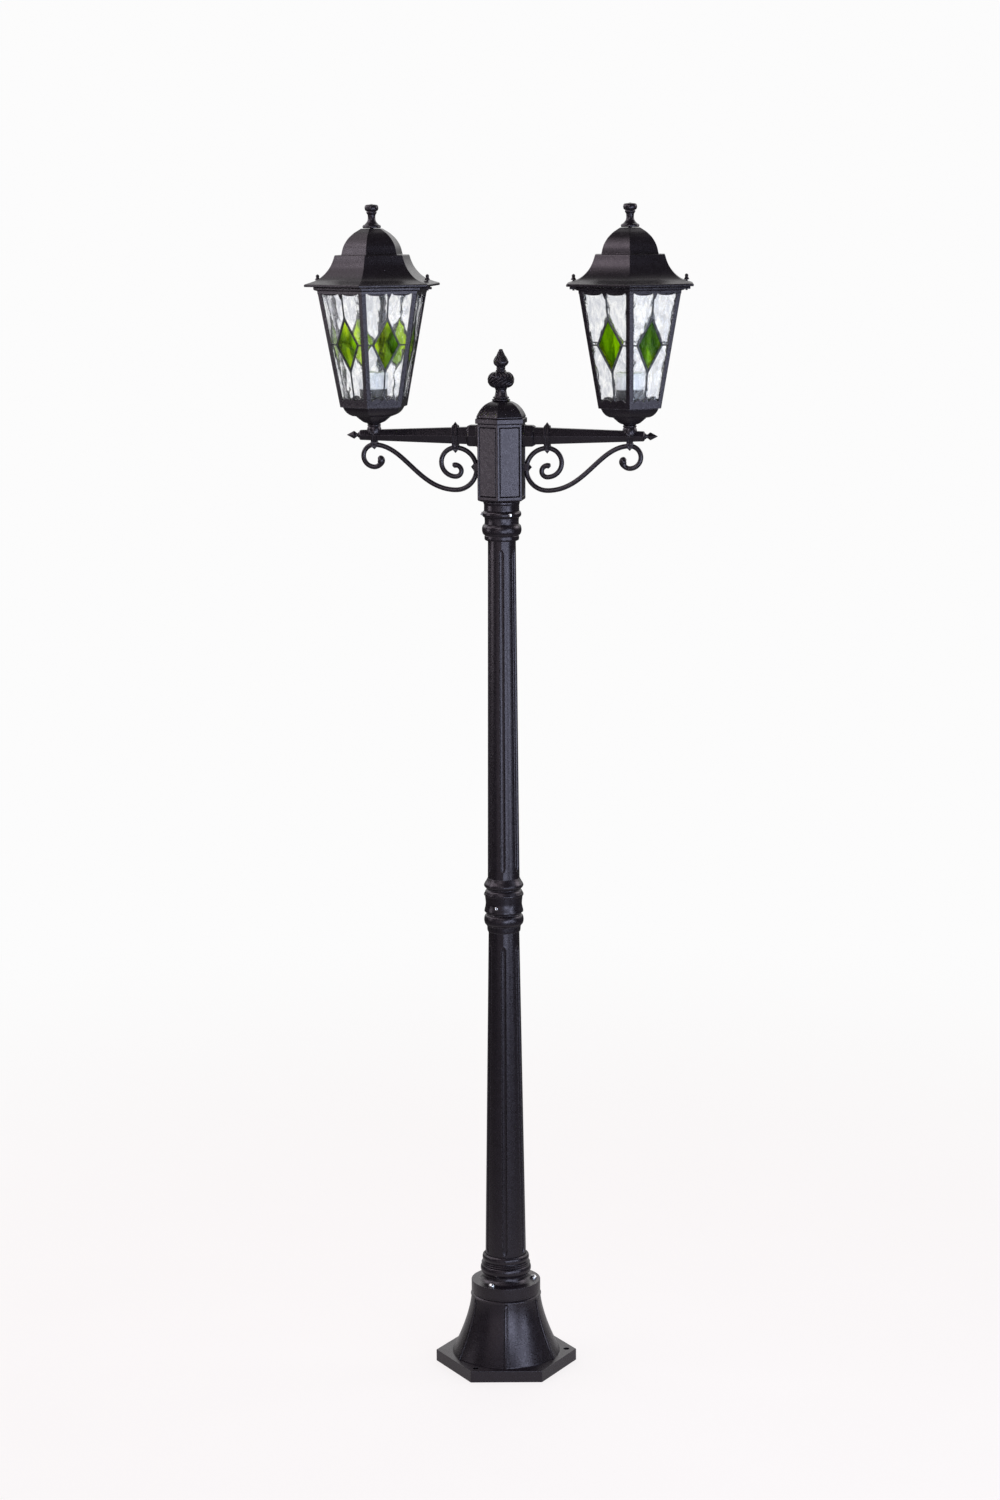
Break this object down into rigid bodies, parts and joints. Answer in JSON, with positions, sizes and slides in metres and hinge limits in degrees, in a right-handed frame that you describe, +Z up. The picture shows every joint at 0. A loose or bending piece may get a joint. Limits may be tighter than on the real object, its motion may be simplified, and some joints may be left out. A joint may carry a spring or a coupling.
{
  "type": "street lamp post",
  "caption": "Two-lantern garden lamp post: hexagonal bell foot, fluted tapered column, head box with scrolled arms, hexagonal leaded-glass lanterns.",
  "frame": {"origin": "on the column's axis at the ground, under the foot plate", "axes": "+Z up along the column, +X along the arms towards the right lantern, -Y towards the front"},
  "size_m": [0.7071, 0.2632, 2.2002],
  "materials": {
    "black_coat": "satin",
    "screw_chrome": "polished",
    "wavy_glass": "gloss",
    "green_glass": "gloss",
    "lead_came": "satin",
    "inner_plastic": "matte",
    "porcelain": "gloss",
    "lead_sheath": "matte"
  },
  "bodies": {
    "column": {"foot_base": "black_coat", "column_flange": "black_coat", "lower_tube": "black_coat", "mid_coupling": "black_coat", "upper_tube": "black_coat", "top_collar": "black_coat", "flange_screw_1": "screw_chrome", "flange_screw_2": "screw_chrome", "flange_screw_3": "screw_chrome", "coupling_screw": "screw_chrome", "collar_screw_1": "screw_chrome", "collar_screw_2": "screw_chrome"},
    "head": {"head_box": "black_coat", "head_cap": "black_coat", "head_finial": "black_coat", "terminal_block": "inner_plastic", "left_arm_sleeve": "black_coat", "left_arm_bar": "black_coat", "left_arm_tip": "black_coat", "left_scroll": "black_coat", "left_scroll_clip": "black_coat", "left_inner_clamp": "black_coat", "left_lantern_saddle": "black_coat", "left_lamp_lead": "lead_sheath", "right_arm_sleeve": "black_coat", "right_arm_bar": "black_coat", "right_arm_tip": "black_coat", "right_scroll": "black_coat", "right_scroll_clip": "black_coat", "right_inner_clamp": "black_coat", "right_lantern_saddle": "black_coat", "right_lamp_lead": "lead_sheath"},
    "left_lantern": {"left_bowl": "black_coat", "left_cage": "black_coat", "left_pane_1": "wavy_glass", "left_pane_2": "wavy_glass", "left_pane_3": "wavy_glass", "left_pane_4": "wavy_glass", "left_pane_5": "wavy_glass", "left_pane_6": "wavy_glass", "left_holder_base": "inner_plastic", "left_lamp_holder": "porcelain"},
    "left_roof": {"left_roof": "black_coat", "left_roof_finial": "black_coat"},
    "left_roof_nut_1": {"left_roof_nut_1": "black_coat"},
    "left_roof_nut_2": {"left_roof_nut_2": "black_coat"},
    "right_lantern": {"right_bowl": "black_coat", "right_cage": "black_coat", "right_pane_1": "wavy_glass", "right_pane_2": "wavy_glass", "right_pane_3": "wavy_glass", "right_pane_4": "wavy_glass", "right_pane_5": "wavy_glass", "right_pane_6": "wavy_glass", "right_holder_base": "inner_plastic", "right_lamp_holder": "porcelain"},
    "right_roof": {"right_roof": "black_coat", "right_roof_finial": "black_coat"},
    "right_roof_nut_1": {"right_roof_nut_1": "black_coat"},
    "right_roof_nut_2": {"right_roof_nut_2": "black_coat"}
  },
  "joints": [
    {"name": "head_swivel", "type": "hinge", "parent": "column", "child": "head", "pos_m": [0, 0, 1.66], "axis": [0, 0, 1], "range_deg": [-180, 180]},
    {"name": "left_lantern_swivel", "type": "hinge", "parent": "head", "child": "left_lantern", "pos_m": [-0.2365, 0, 1.8011], "axis": [0, 0, 1], "range_deg": [-180, 180]},
    {"name": "left_roof_lift", "type": "slide", "parent": "left_lantern", "child": "left_roof", "axis": [0, 0, 1], "range_m": [0, 0.15]},
    {"name": "left_roof_nut_1_turn", "type": "hinge", "parent": "left_roof", "child": "left_roof_nut_1", "pos_m": [-0.3385, 0, 2.063], "axis": [0, 0, 1], "continuous": true},
    {"name": "left_roof_nut_2_turn", "type": "hinge", "parent": "left_roof", "child": "left_roof_nut_2", "pos_m": [-0.1345, 0, 2.063], "axis": [0, 0, 1], "continuous": true},
    {"name": "right_lantern_swivel", "type": "hinge", "parent": "head", "child": "right_lantern", "pos_m": [0.2365, 0, 1.8011], "axis": [0, 0, 1], "range_deg": [-180, 180]},
    {"name": "right_roof_lift", "type": "slide", "parent": "right_lantern", "child": "right_roof", "axis": [0, 0, 1], "range_m": [0, 0.15]},
    {"name": "right_roof_nut_1_turn", "type": "hinge", "parent": "right_roof", "child": "right_roof_nut_1", "pos_m": [0.13504, -0.01048, 2.063], "axis": [0, 0, 1], "continuous": true},
    {"name": "right_roof_nut_2_turn", "type": "hinge", "parent": "right_roof", "child": "right_roof_nut_2", "pos_m": [0.33796, 0.01048, 2.063], "axis": [0, 0, 1], "continuous": true}
  ]
}
